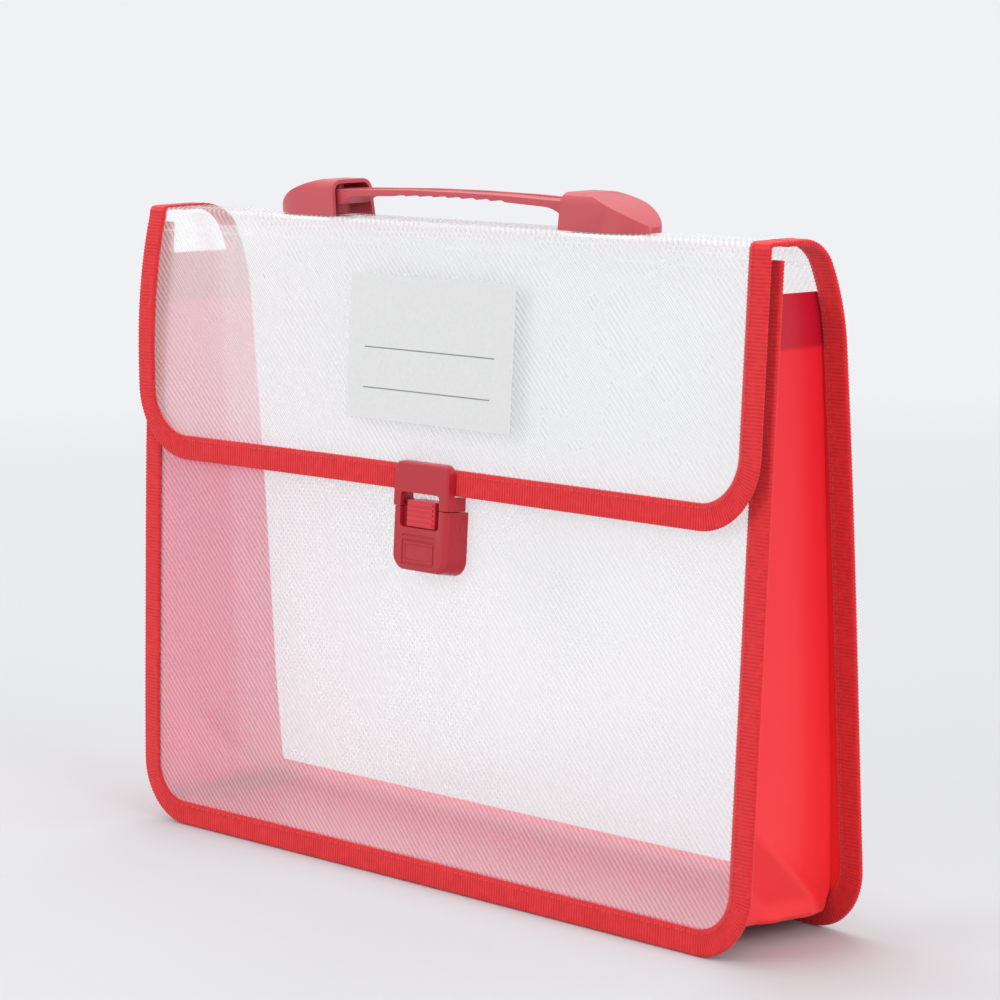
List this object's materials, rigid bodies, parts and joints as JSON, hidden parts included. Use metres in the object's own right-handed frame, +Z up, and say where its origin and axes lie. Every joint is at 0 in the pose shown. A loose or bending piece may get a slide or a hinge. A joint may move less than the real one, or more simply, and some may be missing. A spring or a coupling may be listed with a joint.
{
  "type": "expanding document case",
  "caption": "Wedge-shaped A4 document case of frosted plastic sheet with red tape edges, a red cloth gusset, a flap with a push clasp and a strap handle on top.",
  "frame": {"origin": "middle of the footprint, on the floor that the case stands on", "axes": "+X along the width, to the right seen from the front; -Y out of the front, where the flap and clasp are; +Z up towards the handle"},
  "size_m": [0.33, 0.0599, 0.2544],
  "materials": {
    "frosted_sheet": "frosted translucent polypropylene with fine diagonal ridges",
    "red_tape": "woven ribbed binding tape, stitched",
    "red_cloth": "smooth coated cloth with a soft sheen",
    "red_plastic": "semi-gloss injection-moulded plastic",
    "spring_plastic": "natural white moulded plastic",
    "inner_plate": "plain pale moulded plastic",
    "screw_steel": "bright plated steel",
    "grey_label": "matt printed label film"
  },
  "bodies": {
    "case": {"back_panel": "frosted_sheet", "back_binding": "red_tape", "gusset": "red_cloth"},
    "front": {"front_panel": "frosted_sheet", "front_binding": "red_tape", "clasp_body": "red_plastic", "clasp_plate": "inner_plate", "clasp_screws": "screw_steel", "clasp_spring": "spring_plastic"},
    "button": {"release_button": "red_plastic"},
    "strip": {"top_strip": "frosted_sheet", "strip_binding_left": "red_tape", "strip_binding_right": "red_tape", "handle_cap_left": "red_plastic", "handle_cap_right": "red_plastic", "handle_plate_left": "inner_plate", "handle_plate_right": "inner_plate", "handle_screws_left": "screw_steel", "handle_screws_right": "screw_steel"},
    "strap": {"handle_strap": "red_plastic"},
    "flap": {"flap_sheet": "frosted_sheet", "flap_binding": "red_tape", "label": "grey_label", "clasp_hook": "red_plastic", "hook_plate": "inner_plate", "hook_rivets": "screw_steel"}
  },
  "joints": [
    {"name": "front_fold", "type": "hinge", "parent": "case", "child": "front", "pos_m": [0, -0.0043, 0.3427], "axis": [1, 0, 0], "range_deg": [0, 8], "deforming": ["gusset"]},
    {"name": "button_slide", "type": "slide", "parent": "front", "child": "button", "axis": [0, 0.0842, 0.9964], "range_m": [0, 0.0025], "stiffness_N_per_m": 400, "springref_m": -0.003, "deforming": ["clasp_spring"]},
    {"name": "strip_fold", "type": "hinge", "parent": "case", "child": "strip", "pos_m": [0, 0.01503, 0.23199], "axis": [-1, 0, 0], "range_deg": [0, 90]},
    {"name": "strap_lift", "type": "slide", "parent": "strip", "child": "strap", "axis": [0, 0, 1], "range_m": [0, 0.001]},
    {"name": "flap_fold", "type": "hinge", "parent": "strip", "child": "flap", "pos_m": [0, -0.01451, 0.24087], "axis": [-1, 0, 0], "range_deg": [0, 170]}
  ]
}
